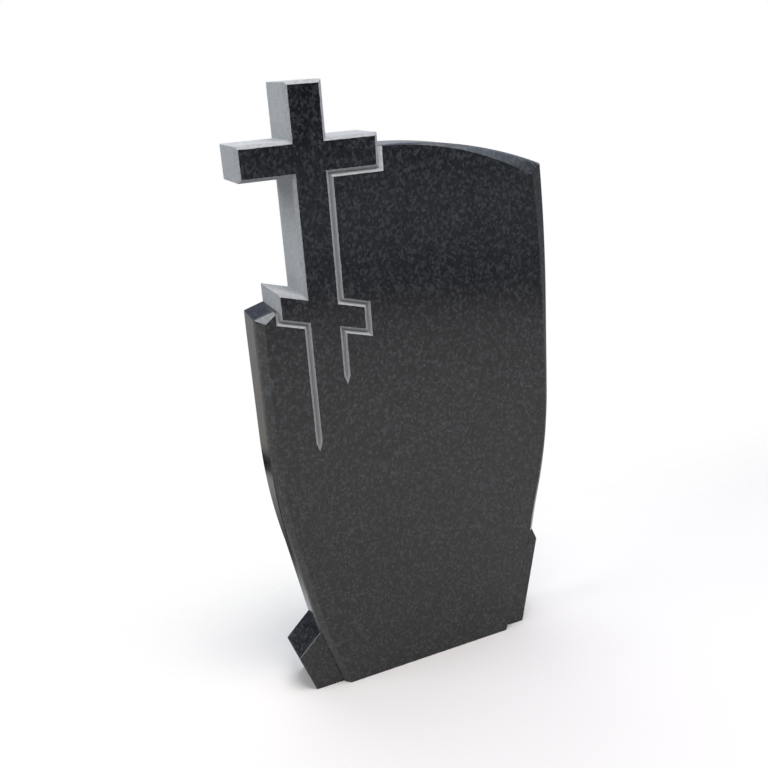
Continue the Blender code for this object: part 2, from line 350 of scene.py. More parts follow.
@dataclass
class Cross:
    """The cross: shaft, upper arms and slanted lower bar, with the groove cut round it.

    The lengths are those of the polished face, which the groove's depth sets in from the cross's
    outline. The groove is a V whose walls slope at 45 degrees, so it is twice as wide as deep.
    """

    slab: Slab
    groove_depth: float = 4.5 * MM
    shaft_width: float = 45.4 * MM
    arm_length: float = 76.6 * MM
    arm_height: float = 40.3 * MM
    arm_below_top: float = 76.6 * MM
    bar_length: float = 127.6 * MM
    bar_height: float = 34.1 * MM
    bar_centre: float = 646.5 * MM
    bar_tilt: float = math.radians(15.8)
    left_groove_end: float = 433 * MM
    right_groove_end: float = 531 * MM
    run_out: float = 14 * MM
    lip: float = 0.45 * MM
    chipping: float = 0.16 * MM
    chip_spacing: float = 2.5 * MM
    section_spacing: float = 1.2 * MM
    overcut: float = 2 * MM
    corner_clearance: float = 1.5 * MM
    leaving_edge: int = 2
    meeting_edge: int = 12
    free_above_shoulder: float = 659 * MM
    free_above_top: float = 866 * MM
    # Over this stretch below free_above_top, the groove's outer wall gets the near-white finish, a
    # painted highlight where the groove starts at the stele's top.
    highlight_start: float = 10 * MM
    seed: int = 7

    @property
    def left(self) -> float:
        """Left edge of the shaft's polished face."""
        return self.slab.low.x + self.groove_depth + self.arm_length

    @property
    def right(self) -> float:
        """Right edge of the shaft's polished face."""
        return self.left + self.shaft_width

    @property
    def centre(self) -> float:
        """Middle of the shaft."""
        return (self.left + self.right) / 2

    @property
    def bar_left(self) -> float:
        """Left end of the slanted bar's polished face."""
        return self.centre - self.bar_length / 2

    @property
    def groove_outside(self) -> float:
        """Outer edge of the groove at the slanted bar's left end."""
        return self.bar_left - 2 * self.groove_depth

    def bar_edge(self, x: float, side: int) -> float:
        """Height of the slanted bar's upper (1) or lower (-1) edge at x."""
        middle = self.bar_centre - (x - self.centre) * math.tan(self.bar_tilt)
        return middle + side * self.bar_height / 2

    def path(self) -> Array:
        """Trace the polished face's edge, from under the bar's left round to under its right.

        Returns:
            Points (18, 2), clockwise seen from the front.
        """
        top = self.slab.height - self.groove_depth
        arm_top = top - self.arm_below_top
        arm_bottom = arm_top - self.arm_height
        left, right = self.left, self.right
        bar_right = self.centre + self.bar_length / 2
        return np.array([
            (left, self.bar_edge(left, -1)), (self.bar_left, self.bar_edge(self.bar_left, -1)),
            (self.bar_left, self.bar_edge(self.bar_left, 1)), (left, self.bar_edge(left, 1)),
            (left, arm_bottom), (left - self.arm_length, arm_bottom),
            (left - self.arm_length, arm_top), (left, arm_top),
            (left, top), (right, top),
            (right, arm_top), (right + self.arm_length, arm_top),
            (right + self.arm_length, arm_bottom), (right, arm_bottom),
            (right, self.bar_edge(right, 1)), (bar_right, self.bar_edge(bar_right, 1)),
            (bar_right, self.bar_edge(bar_right, -1)), (right, self.bar_edge(right, -1)),
        ])

    def block(self) -> Shell:
        """Carry the cross's outer outline through the whole slab.

        The outline is the polished face's edge moved outwards by the groove's depth, with its
        corners and its back arris rounded.

        Returns:
            A closed shell with a polished front and frosted sides.
        """
        path = self.path()
        ends = np.array([(self.left, self.left_groove_end), (self.right, self.right_groove_end)])
        around = np.concatenate([ends[:1], path, ends[1:]])
        ring = path + edge_mitres(around, closed=False)[1:-1] * self.groove_depth
        corners = list(range(1, len(ring) - 1))
        arris = self.slab.arris
        ring = soften_corners(ring, corners, self.slab.corner_reach)
        inner = ring - edge_mitres(ring) * arris
        front = at_depth(ring, self.slab.front)
        back = at_depth(ring, self.slab.back)
        rows = [front[None], at_depth(ring, self.slab.back - arris)[None]]
        rows.append(parabola(back - [0, arris, 0], back, at_depth(inner, self.slab.back))[1:])
        rings = np.concatenate(rows)
        marks = np.full((len(rings) - 1, len(ring)), Finish.FROSTED)
        return shell_from_rings("cross", rings, marks, Finish.POLISHED, Finish.SAWN)

    def sampled_path(self) -> tuple[Array, Array, Array, Array]:
        """Cut the groove's path into short stretches, clear of its corners.

        Near an inner corner the cutter's outer wall would fold over itself, so no point between
        the corners lies nearer to one than the wall is wide.

        Returns:
            Points (n, 2), their outward shifts (n, 2), the distance along the path (n,), and the
            number of the edge that each point starts or lies on (n,).
        """
        path = self.path()
        run_in = np.array([(self.left, self.left_groove_end + self.run_out)])
        run_on = np.array([(self.right, self.right_groove_end + self.run_out)])
        corners = np.concatenate([run_in, path, run_on])
        mitres = edge_mitres(corners, closed=False)
        clear = 2 * self.groove_depth + self.overcut + self.corner_clearance
        points, shifts, edges = [], [], []
        for i in range(len(corners) - 1):
            step = corners[i + 1] - corners[i]
            length = float(np.linalg.norm(step))
            count = max(1, int((length - 2 * clear) / self.section_spacing))
            places = np.linspace(clear, length - clear, count)[:, None] / length
            normal = np.array([-step[1], step[0]]) / length
            points += [corners[i:i + 1], corners[i] + places * step]
            shifts += [mitres[i:i + 1], np.repeat(normal[None], count, axis=0)]
            edges.append(np.full(count + 1, i))
        points = np.concatenate(points + [corners[-1:]])
        shifts = np.concatenate(shifts + [mitres[-1:]])
        edges = np.concatenate(edges + [[len(corners) - 1]])
        gaps = np.linalg.norm(np.diff(points, axis=0), axis=1)
        return points, shifts, np.concatenate([[0.0], np.cumsum(gaps)]), edges

    def free_stretch(self, points: Array, edges: Array) -> Array:
        """Mark the sections where the cross stands free, so that only a chamfer is cut.

        It stands free from where its lower bar's end (leaving_edge) leaves the shoulder, to where
        its upper arm's end (meeting_edge) meets the stele's top.

        Args:
            points: Points (n, 2) of the groove's path.
            edges: Number of each point's edge (n,).

        Returns:
            Whether the cross stands free at each point (n,).
        """
        height = points[:, 1]
        leaves = (edges == self.leaving_edge) & (height > self.free_above_shoulder)
        meets = (edges == self.meeting_edge) & (height > self.free_above_top)
        return leaves | (edges > self.leaving_edge) & (edges < self.meeting_edge) | meets

    def groove_cutter(self) -> Shell:
        """Sweep a V round the cross, with a rounded lip and small chips along both edges.

        A section's profile goes from above the face over the inner lip, down a 45 degree wall to the
        valley and up to the outer lip. Each wall is shifted sideways by its own smooth random line
        along the path. Both ends run out to a point. Where the groove starts at the stele's top, its
        outer wall has a near-white finish that paints a highlight there.

        Returns:
            The cutter, with the groove's finish.
        """
        points, shifts, distance, edges = self.sampled_path()
        random = np.random.default_rng(self.seed)
        knots = np.arange(0.0, distance[-1] + self.chip_spacing, self.chip_spacing)
        chips = random.normal(0.0, self.chipping, (2, len(knots)))
        inner = np.interp(distance, knots, chips[0])
        outer = np.interp(distance, knots, chips[1])
        deep, lip, over = self.groove_depth, self.lip, self.overcut
        half = np.array([(-lip - over, -over), (-lip, -0.04 * lip), (-0.25 * lip, 0.13 * lip),
                         (0.25 * lip, 0.38 * lip), (0.71 * lip, 0.71 * lip)])
        valley = np.array([(deep, deep)])
        mirrored = np.array([2 * deep, 0]) + half[::-1] * [-1, 1]
        profile = np.concatenate([half, valley, mirrored])
        wall = np.arange(len(profile))
        inner_wall = (wall < len(half)).astype(float)
        outer_wall = (wall > len(half)).astype(float)
        offset = profile[None, :, 0] + inner[:, None] * inner_wall + outer[:, None] * outer_wall
        x = points[:, None, 0] + shifts[:, None, 0] * offset
        height = points[:, None, 1] + shifts[:, None, 1] * offset
        depth = np.broadcast_to(self.slab.front + profile[None, :, 1], x.shape)
        rings = np.stack([x, depth, height], axis=-1)
        tip_depth = self.slab.front - 0.1 * lip
        tips = np.array([(self.left - deep, tip_depth, self.left_groove_end),
                         (self.right + deep, tip_depth, self.right_groove_end)])
        tips = np.repeat(tips[:, None], len(profile), axis=1)
        rings = np.concatenate([tips[:1], rings, tips[1:]])
        marks = np.full((len(rings) - 1, len(profile)), Finish.GROOVE)
        marks[1:-1][self.free_stretch(points, edges)[:-1]] = Finish.FROSTED
        # Where the groove starts at the stele's top, its outer wall gets the near-white finish, a
        # painted highlight.
        highlight_above = self.free_above_top - self.highlight_start
        start = (edges == self.meeting_edge) & (points[:, 1] > highlight_above)
        marks[1:-1, len(half):][start[:-1]] = Finish.PAINTED_HIGHLIGHT
        shell = shell_from_rings("groove_cutter", rings, marks, Finish.GROOVE, Finish.GROOVE)
        # Both end faces lie in a tip and have no area, so they go.
        return Shell(shell.name, shell.vertices, shell.faces[:-2], shell.finishes[:-2])


@dataclass
class Stele:
    """The stele: curved sides, arched top, left shoulder, and the bevel round its front.

    Its widest stretch, the belly, lies between belly_low and belly_high. The front face is a layer
    that runs down between the feet.
    """

    slab: Slab
    cross: Cross
    belly_low: float = 447 * MM
    belly_high: float = 600 * MM
    upper_radius: float = 2650 * MM
    lower_radius: float = 890 * MM
    side_turn: float = 255 * MM
    foot_side_radius: float = 1000 * MM
    side_lean: float = 4.5 * MM
    side_round: float = 6 * MM
    top_height: float = 874 * MM
    top_crest_x: float = -30 * MM
    top_radius: float = 690 * MM
    shoulder_height: float = 651 * MM
    shoulder_slope: float = math.radians(13.7)
    bevel_depth: float = 12 * MM
    bevel_width: float = 11 * MM
    bevel_widens_from: float = 480 * MM
    top_corner_bevel: float = 23.6 * MM
    shoulder_bevel: float = 14 * MM
    shoulder_drop: float = 6 * MM
    shoulder_end_drop: float = 1.5 * MM
    front_top_drop: float = 0.8 * MM
    front_top_crest_x: float = -40 * MM
    front_top_radius: float = 500 * MM
    layer_left: float = 167 * MM
    layer_right: float = 158 * MM
    kink_rise: float = 10 * MM
    left_inner: tuple[float, float] = (199 * MM, 107 * MM)
    right_inner_height: float = 184 * MM
    side_steps: int = 150
    top_steps: int = 70

    def right_half_width(self, height: Array) -> Array:
        """The stele's reach to the right at each height.

        Above the belly the side is an arc of the upper radius, and below it one of the lower
        radius: the reach is half width - radius + sqrt(radius^2 - distance from the belly^2).
        Under side_turn it is an arc that curves the other way and starts along the last one.

        Args:
            height: Heights in any shape.

        Returns:
            The reach at each of them.
        """
        half = self.slab.half_width
        rise = np.maximum(height - self.belly_high, 0.0)
        drop = np.maximum(self.belly_low - np.maximum(height, self.side_turn), 0.0)
        above = np.sqrt(self.upper_radius ** 2 - rise ** 2) - self.upper_radius
        below = np.sqrt(self.lower_radius ** 2 - drop ** 2) - self.lower_radius
        reach = half + above + below
        turn = math.asin((self.belly_low - self.side_turn) / self.lower_radius)
        start = half - self.lower_radius * (1 - math.cos(turn))
        centre_x = start + self.foot_side_radius * math.cos(turn)
        centre_z = self.side_turn - self.foot_side_radius * math.sin(turn)
        drop = np.minimum(height, self.side_turn) - centre_z
        concave = centre_x - np.sqrt(self.foot_side_radius ** 2 - drop ** 2)
        return np.where(height < self.side_turn, concave, reach)

    def left_half_width(self, height: Array) -> Array:
        """The reach to the left: the same curve, with a straight stretch above the foot.

        Args:
            height: Heights in any shape.

        Returns:
            The reach at each of them.
        """
        inner_x, inner_height = self.left_inner
        turn_x = float(self.right_half_width(np.array(self.side_turn)))
        share = (height - inner_height) / (self.side_turn - inner_height)
        straight = inner_x + (turn_x - inner_x) * share
        return np.where(height < self.side_turn, straight, self.right_half_width(height))

    def top_edge(self, x: Array) -> Array:
        """Height of the top edge at x: an arc from its crest and radius."""
        arc = np.sqrt(self.top_radius ** 2 - (x - self.top_crest_x) ** 2)
        return self.top_height - self.top_radius + arc

    def front_top_edge(self, x: Array) -> Array:
        """Height of the front face's top edge at x, below the bevel."""
        arc = np.sqrt(self.front_top_radius ** 2 - (x - self.front_top_crest_x) ** 2)
        return self.top_height - self.front_top_drop - self.front_top_radius + arc

    def top_corner(self) -> tuple[float, float]:
        """Find where the top arc meets the right side, as the height where they lie closest.

        Returns:
            The corner's x and height.
        """
        height = along(self.belly_high, self.top_height, 20000)
        reach = self.right_half_width(height)
        nearest = int(np.argmin(np.abs(self.top_edge(reach) - height)))
        return float(reach[nearest]), float(height[nearest])

    def bevel(self, height: Array, corner_height: float, corner_width: float) -> Array:
        """Width of the side's bevel, which widens evenly towards the corner above it."""
        share = (height - self.bevel_widens_from) / (corner_height - self.bevel_widens_from)
        return self.bevel_width + (corner_width - self.bevel_width) * np.maximum(share, 0.0)

    def shoulder_edge(self, x: float) -> float:
        """Height of the left shoulder at x."""
        return self.shoulder_height + (x - self.slab.low.x) * math.tan(self.shoulder_slope)

    def outlines(self) -> tuple[Array, Array, Array, Array]:
        """Trace the stele on its front face, on the bevel's inner plane and on its back.

        The rings run counter-clockwise seen from the front: up the right side, along the top,
        down inside the cross, over the shoulder and down the left side.

        Returns:
            The three rings (n, 2), and which points (n,) start an edge of the shoulder's bevel,
            which is ground and not polished.
        """
        corner_x, corner_height = self.top_corner()
        front_corner_x = corner_x - self.top_corner_bevel
        front_corner_height = float(self.front_top_edge(np.array(front_corner_x)))

        height = along(self.right_inner_height, corner_height, self.side_steps)
        reach = self.right_half_width(height)
        kink = self.right_inner_height + self.kink_rise
        front_height = along(kink, front_corner_height, self.side_steps)
        width = self.bevel(height, corner_height, self.top_corner_bevel)
        right = [np.stack([reach - width, front_height], 1), np.stack([reach, height], 1),
                 np.stack([reach - self.side_lean, height], 1)]

        share = along(0.0, 1.0, self.top_steps)[1:]
        end = self.cross.centre
        x = corner_x + (end - corner_x) * share
        front_x = front_corner_x + (end - front_corner_x) * share
        back_corner = corner_x - self.side_lean
        back_x = back_corner + (end - back_corner) * share
        top = [np.stack([front_x, self.front_top_edge(front_x)], 1),
               np.stack([x, self.top_edge(x)], 1), np.stack([back_x, self.top_edge(x)], 1)]

        inside = (self.cross.bar_left + self.cross.left) / 2
        edge = self.cross.groove_outside
        hidden = [(end, self.cross.bar_centre), (inside, self.shoulder_edge(inside))]
        shoulder = np.array(hidden + [(edge, self.shoulder_edge(edge))])
        dropped = self.shoulder_edge(edge) - self.shoulder_end_drop
        front_shoulder = np.array(hidden + [(edge, dropped)])

        height = along(self.shoulder_height, self.left_inner[1], self.side_steps)
        reach = self.left_half_width(height)
        kink = self.left_inner[1] + self.kink_rise
        front_height = along(self.shoulder_height - self.shoulder_drop, kink, self.side_steps)
        width = self.bevel(height, self.shoulder_height, self.shoulder_bevel)
        left = [np.stack([width - reach, front_height], 1), np.stack([-reach, height], 1),
                np.stack([self.side_lean - reach, height], 1)]

        rings = []
        for k, across in enumerate((front_shoulder, shoulder, shoulder)):
            set_in = self.bevel_width if k == 0 else 0.0
            foot_right = np.array([(self.layer_right - set_in, 0.0)])
            foot_left = np.array([(set_in - self.layer_left, 0.0)])
            rings.append(np.concatenate([foot_right, right[k], top[k], across, left[k], foot_left]))
        corner = 1 + self.side_steps
        outside = corner + self.top_steps + 3
        corners = [corner, outside + 1]
        softened = [soften_corners(ring, corners, self.slab.corner_reach) for ring in rings]
        ground = np.zeros(len(softened[0]), bool)
        outside += ROUNDING_STEPS
        ground[outside:outside + 1 + ROUNDING_STEPS // 2] = True
        return softened[0], softened[1], softened[2], ground

    def block(self) -> Shell:
        """Skin the three outlines, with a rounded arris at each.

        Returns:
            A closed shell, polished but for its back, its underside and the shoulder's bevel.
        """
        front, bevel, back, ground = self.outlines()
        arris = self.slab.arris
        front_in = at_depth(front + edge_mitres(front) * arris, self.slab.front)
        back_in = at_depth(back + edge_mitres(back) * arris, self.slab.back)
        for ring in (front_in, back_in):
            ring[:, 2] = np.maximum(ring[:, 2], self.slab.low.z)
        bevel_end = self.slab.front + self.bevel_depth
        stations = [at_depth(front, self.slab.front), at_depth(bevel, bevel_end),
                    at_depth(back, self.slab.back)]
        rings = rounded_through(stations, front_in, back_in, [arris, self.side_round, arris])
        marks = np.full((len(rings) - 1, len(front)), Finish.POLISHED)
        # From the middle of the front arris to the middle of the rounding behind the bevel.
        middle = ROUNDING_STEPS // 2
        marks[middle:middle + ROUNDING_STEPS + 1, ground] = Finish.GROUND
        marks[:, -1] = Finish.SAWN
        return shell_from_rings("stele", rings, marks, Finish.POLISHED, Finish.SAWN)


@dataclass
class Foot:
    """A foot of the stele, set back from its front layer, with a sloped top.

    Its outline goes from the layer's edge out to base on the ground, up to corner, and along the
    slope to inner, where it meets the stele. All four are given as on the right.
    """

    name: str
    slab: Slab
    hand: Hand
    base: float
    corner: tuple[float, float]
    inner: tuple[float, float]
    layer: float
    setback: float = 11.5 * MM
    overlap: float = 30 * MM
    corner_round: float = 2.0 * MM
    front_arris: float = 1.8 * MM

    def block(self) -> Shell:
        """Carry the foot's outline through the slab from its setback.

        The outline is the base, the outer corner and the sloped top, which runs on into the
        stele. Its outer corner and its front and back arrises are rounded.

        Returns:
            A closed shell with polished front, top and side. Its front arris is left ground, in a
            lighter grey whose light line paints the highlight along that edge.
        """
        slope = np.array(self.inner) - np.array(self.corner)
        buried = np.array(self.inner) + slope / np.linalg.norm(slope) * self.overlap
        inside = self.layer - self.overlap
        ring = np.array([(inside, 0.0), (self.base, 0.0), self.corner, tuple(buried),
                         (inside, buried[1])])
        ring = soften_corners(ring, [2], self.corner_round) * [self.hand, 1]
        moved_in = edge_mitres(ring) * self.hand * self.front_arris
        moved_in[:2] = 0.0
        moved_in[:, 1] = np.minimum(moved_in[:, 1], 0.0)
        front_depth = self.slab.front + self.setback
        stations = [at_depth(ring, front_depth), at_depth(ring, self.slab.back)]
        front_in = at_depth(ring + moved_in, front_depth)
        back_in = at_depth(ring + moved_in, self.slab.back)
        rings = rounded_through(stations, front_in, back_in, [self.front_arris] * 2)
        marks = np.full((len(rings) - 1, len(ring)), Finish.POLISHED)
        # The front arris gets the lighter ground finish, whose light line paints the highlight along
        # the edge.
        marks[1:3, 2:] = Finish.GROUND
        marks[:, 0] = Finish.SAWN
        return shell_from_rings(self.name, rings, marks, Finish.POLISHED, Finish.SAWN)


# Finishes

def linear(colour: str) -> tuple[float, float, float, float]:
    """Turn an sRGB hex colour into linear light.

    Args:
        colour: The colour as #RRGGBB.

    Returns:
        Red, green, blue and alpha.
    """
    values = [int(colour[i:i + 2], 16) / 255 for i in (1, 3, 5)]
    turned = [v / 12.92 if v <= 0.04045 else ((v + 0.055) / 1.055) ** 2.4 for v in values]
    return (turned[0], turned[1], turned[2], 1.0)


def add_node(tree: NodeTree, kind: str, links: dict[str | int, object] | None = None,
             **settings: object) -> Node:
    """Add a node, set it up and link its inputs.

    Args:
        tree: The node tree.
        kind: The node's type name.
        links: Input name or number to an output socket, or to a value for that input.
        **settings: Properties of the node.

    Returns:
        The new node.
    """
    node = tree.nodes.new(kind)
    for key, value in settings.items():
        setattr(node, key, value)
    for key, value in (links or {}).items():
        if isinstance(value, Socket):
            tree.links.new(value, node.inputs[key])
        else:
            node.inputs[key].default_value = value
    return node


def set_ramp(node: Node, stops: list[tuple[float, str]]) -> None:
    """Give a colour ramp its stops.

    Args:
        node: The ramp's node.
        stops: Each stop's place and sRGB hex colour, in rising order.
    """
    ramp = node.color_ramp
    while len(ramp.elements) < len(stops):
        ramp.elements.new(0.5)
    for element, (place, colour) in zip(ramp.elements, stops):
        element.position = place
        element.color = linear(colour)


@dataclass(frozen=True)
class StoneFinish:
    """One finish of the gabbro: how light its base and its crystals look, and how glossy.

    Lengths are in metres. Real crystals are about 1 mm, too fine to show at this distance, so each
    finish draws them 2 to 3.4 mm across. Polished igneous stone mirrors about as much as glass
    does, so the IOR is 1.5.
    """

    name: str
    base: str
    dark: str
    light: str
    roughness: float
    bump_height: float
    crystal: float = 3.2 * MM
    roughness_spread: float = 0.08
    ior: float = 1.5
    upright: float = 1.0
    clouding: float = 0.4
    cloud_size: float = 2.5
    streak: float = 0.0
    streak_width: float = 9.1 * MM
    streak_length: float = 130 * MM
    patch_size: float = 71.4 * MM
    # valley: the colour of painted shade along a groove's valley, which comes in between the two
    # depths of its span.
    valley: str | None = None
    valley_shade_span: tuple[float, float] = (0.0, 0.0)

    def build(self) -> Material:
        """Make the material on Object coordinates.

        Returns:
            The material.
        """
        material = bpy.data.materials.new(self.name)
        material.use_nodes = True
        tree = material.node_tree
        shader = tree.nodes["Principled BSDF"]
        place = add_node(tree, "ShaderNodeTexCoord").outputs["Object"]
        colour = self.crystal_colour(tree, place)
        if self.streak > 0.0:
            colour = self.streaked(tree, place, colour)
        if self.valley is not None:
            colour = self.painted_valley_shade(tree, place, colour)
        tree.links.new(colour, shader.inputs["Base Color"])
        tree.links.new(self.gloss(tree, place), shader.inputs["Roughness"])
        tree.links.new(self.relief(tree, place), shader.inputs["Normal"])
        shader.inputs["IOR"].default_value = self.ior
        shader.inputs["Metallic"].default_value = 0.0
        return material

    def crystal_colour(self, tree: NodeTree, place: Socket) -> Socket:
        """Draw the close-grained mix of black pyroxene and grey feldspar.

        Each Voronoi cell is a crystal with a grey of its own, and a wider noise, mixed in by
        clouding, makes the light ones gather. Below an upright of 1 the crystals stand tall.

        Args:
            tree: The material's nodes.
            place: Object coordinates.

        Returns:
            The colour.
        """
        drawn = add_node(tree, "ShaderNodeMapping",
                         {"Vector": place, "Scale": (1.0, 1.0, self.upright)}).outputs["Vector"]
        crystals = add_node(tree, "ShaderNodeTexVoronoi",
                            {"Vector": drawn, "Scale": 1.0 / self.crystal})
        grey = add_node(tree, "ShaderNodeSeparateColor", {"Color": crystals.outputs["Color"]})
        clouds = add_node(tree, "ShaderNodeTexNoise",
                          {"Vector": drawn, "Scale": 1.0 / (self.cloud_size * self.crystal),
                           "Detail": 3.0, "Roughness": 0.6})
        gathered = add_node(tree, "ShaderNodeMix", {0: self.clouding, "A": grey.outputs["Red"],
                                                    "B": clouds.outputs["Fac"]})
        ramp = add_node(tree, "ShaderNodeValToRGB", {"Fac": gathered.outputs["Result"]})
        set_ramp(ramp, [(0.15, self.dark), (0.50, self.base), (0.85, self.light)])
        return ramp.outputs["Color"]

    def streaked(self, tree: NodeTree, place: Socket, colour: Socket) -> Socket:
        """Lighten and darken a colour in faint upright streaks, a noise stretched along the height.

        Args:
            tree: The material's nodes.
            place: Object coordinates.
            colour: The colour without streaks.

        Returns:
            The streaked colour.
        """
        squeeze = self.streak_width / self.streak_length
        stretched = add_node(tree, "ShaderNodeMapping",
                             {"Vector": place, "Scale": (1.0, 1.0, squeeze)})
        lines = add_node(tree, "ShaderNodeTexNoise",
                         {"Vector": stretched.outputs["Vector"], "Scale": 1.0 / self.streak_width,
                          "Detail": 2.0})
        weight = add_node(tree, "ShaderNodeMapRange",
                          {"Value": lines.outputs["Fac"], "From Min": 0.35, "From Max": 0.75,
                           "To Min": 1.0 - self.streak, "To Max": 1.0 + self.streak})
        return add_node(tree, "ShaderNodeVectorMath", {0: colour, 1: weight.outputs["Result"]},
                        operation="MULTIPLY").outputs["Vector"]

    def painted_valley_shade(self, tree: NodeTree, place: Socket, colour: Socket) -> Socket:
        """Paint shade into the groove's valley: turn a colour to the valley's darker colour between
        the two depths of its span.

        Args:
            tree: The material's nodes.
            place: Object coordinates.
            colour: The colour of the walls.

        Returns:
            The colour with the painted shade in its valley.
        """
        parts = add_node(tree, "ShaderNodeSeparateXYZ", {"Vector": place})
        deep = add_node(tree, "ShaderNodeMapRange",
                        {"Value": parts.outputs["Y"], "From Min": self.valley_shade_span[0],
                         "From Max": self.valley_shade_span[1]})
        return add_node(tree, "ShaderNodeMixRGB", {"Fac": deep.outputs["Result"], "Color1": colour,
                                                   "Color2": linear(self.valley)}).outputs["Color"]

    def gloss(self, tree: NodeTree, place: Socket) -> Socket:
        """Vary the roughness in wide soft patches, as the polisher's pads leave it.

        Args:
            tree: The material's nodes.
            place: Object coordinates.

        Returns:
            The roughness.
        """
        patches = add_node(tree, "ShaderNodeTexNoise",
                           {"Vector": place, "Scale": 1.0 / self.patch_size, "Detail": 4.0})
        return add_node(tree, "ShaderNodeMapRange",
                        {"Value": patches.outputs["Fac"], "From Min": 0.3, "From Max": 0.7,
                         "To Min": self.roughness - self.roughness_spread,
                         "To Max": self.roughness + self.roughness_spread}).outputs["Result"]

    def relief(self, tree: NodeTree, place: Socket) -> Socket:
        """Raise the grains by a fine bump.

        Args:
            tree: The material's nodes.
            place: Object coordinates.

        Returns:
            The normal.
        """
        grain = add_node(tree, "ShaderNodeTexNoise", {"Vector": place, "Scale": 1.0 / self.crystal,
                                                      "Detail": 3.0, "Roughness": 0.6})
        return add_node(tree, "ShaderNodeBump", {"Height": grain.outputs["Fac"], "Strength": 1.0,
                                                 "Distance": self.bump_height}).outputs["Normal"]


def stone_finishes(slab: Slab, groove_depth: float) -> list[Material]:
    """Make the six finishes of the gabbro, in the order of Finish.

    Args:
        slab: The slab, for the depth of its front face.
        groove_depth: How deep the groove's valley lies under that face.

    Returns:
        The materials.
    """
    # Polished with fine grit to a mirror: the eye sees black stone with grey crystals under a
    # clear reflection, and faint streaks down the slab.
    polished = StoneFinish("polished_gabbro", base="#1E1F21", dark="#0A0B0C", light="#424447",
                           crystal=3.4 * MM, roughness=0.16, roughness_spread=0.04,
                           bump_height=0.004 * MM, upright=0.75, streak=0.12)
    # Cut free and rubbed with coarse grit: the crushed surface scatters light, so the black stone
    # turns an even light grey without gloss.
    frosted = StoneFinish("frosted_gabbro", base="#A8ACB0", dark="#9FA3A6", light="#B2B5B8",
                          roughness=0.85, bump_height=0.2 * MM)
    # Cut with a V wheel: lighter and finer than the frosted faces, with painted shade darker along
    # its valley, where the walls shade each other.
    groove = StoneFinish("grooved_gabbro", base="#B2B5B7", dark="#A6A9AB", light="#BEC0C2",
                         crystal=2.4 * MM, roughness=0.85, bump_height=0.2 * MM, valley="#A0A2A4",
                         valley_shade_span=(slab.front + 0.25 * groove_depth,
                                      slab.front + 0.8 * groove_depth))
    # Sawn and left: a mid grey, matt, with faint upright marks of the saw.
    sawn = StoneFinish("sawn_gabbro", base="#66696C", dark="#55585B", light="#7B7E81",
                       roughness=0.7, bump_height=0.15 * MM, streak=0.05)
    # Ground but not polished: between sawn and frosted, it shows as a light facet on the shoulder's
    # bevel, and as a light line on the feet's front arris, where that line is a painted highlight
    # along the edge.
    coarse = StoneFinish("coarse_ground_gabbro", base="#7D8185", dark="#6E7276", light="#8C8F92",
                         roughness=0.7, bump_height=0.1 * MM)
    # Near-white and rough: a painted highlight on the groove's outer wall where it starts at the
    # stele's top.
    painted_highlight = StoneFinish("highlight_gabbro", base="#E4E7EA", dark="#D2D6D9", light="#F2F3F4",
                          crystal=2.0 * MM, roughness=0.9, roughness_spread=0.05,
                          bump_height=0.4 * MM)
    return [finish.build() for finish in (polished, frosted, groove, sawn, coarse, painted_highlight)]


# The whole stone

@dataclass
class Headstone:
    """The stone as one piece: stele, feet and cross joined, and the groove cut out of them."""

    slab: Slab
    left_base: float = 214 * MM
    left_corner: tuple[float, float] = (238 * MM, 70 * MM)
    right_base: float = 188.5 * MM
    right_corner: tuple[float, float] = (221.5 * MM, 162 * MM)

    def build(self) -> bpy.types.Object:
        """Join the parts and cut the groove.

        Returns:
            The stone, which rides on the root body and stands for the frame's node.
        """
        cross = Cross(self.slab)
        stele = Stele(self.slab, cross)
        right_inner = float(stele.right_half_width(np.array(stele.right_inner_height)))
        left_foot = Foot("left_foot", self.slab, Hand.LEFT, self.left_base, self.left_corner,
                         stele.left_inner, stele.layer_left)
        right_foot = Foot("right_foot", self.slab, Hand.RIGHT, self.right_base, self.right_corner,
                          (right_inner, stele.right_inner_height), stele.layer_right)
        materials = stone_finishes(self.slab, cross.groove_depth)
        stone = stele.block().to_object(materials)
        stone.name = "headstone_stone"
        for part in (cross.block(), left_foot.block(), right_foot.block()):
            combine(stone, part.to_object(materials), Join.ADD)
            LOG.info("joined %s: %d faces", part.name, len(stone.data.polygons))
        combine(stone, cross.groove_cutter().to_object(materials), Join.CUT)
        LOG.info("cut the groove: %d faces", len(stone.data.polygons))
        self.shade(stone)
        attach(stone, "root")
        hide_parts("headstone")
        return stone

    def shade(self, stone: bpy.types.Object) -> None:
        """Shade the roundings smooth, with normals led by the large faces so these look flat.

        Args:
            stone: The whole stone.
        """
        stone.data.shade_smooth()
        stone.data.set_sharp_from_angle(angle=SMOOTH_UP_TO)
        weighted = stone.modifiers.new("weighted_normals", "WEIGHTED_NORMAL")
        weighted.mode = "FACE_AREA"
        weighted.weight = 100
        weighted.keep_sharp = True
        apply_modifiers(stone)


# Studio

@dataclass(frozen=True)
class Softbox:
    """A square lamp: where it hangs (m), how wide (m) and how strong (W) it is, and its aim."""

    name: str
    place: tuple[float, float, float]
    width: float
    power: float
    colour: str
    aim: tuple[float, float, float] = (0.0, 0.0, 0.45)

    def build(self) -> None:
        """Hang the lamp and turn it to the stone."""
        data = bpy.data.lights.new(self.name, "AREA")
        data.shape = "SQUARE"
        data.size = self.width
        data.energy = self.power
        data.color = linear(self.colour)[:3]
        lamp = bpy.data.objects.new(self.name, data)
        lamp.location = self.place
        ahead = Vector(self.aim) - Vector(self.place)
        lamp.rotation_euler = ahead.to_track_quat("-Z", "Y").to_euler()
        bpy.context.scene.collection.objects.link(lamp)


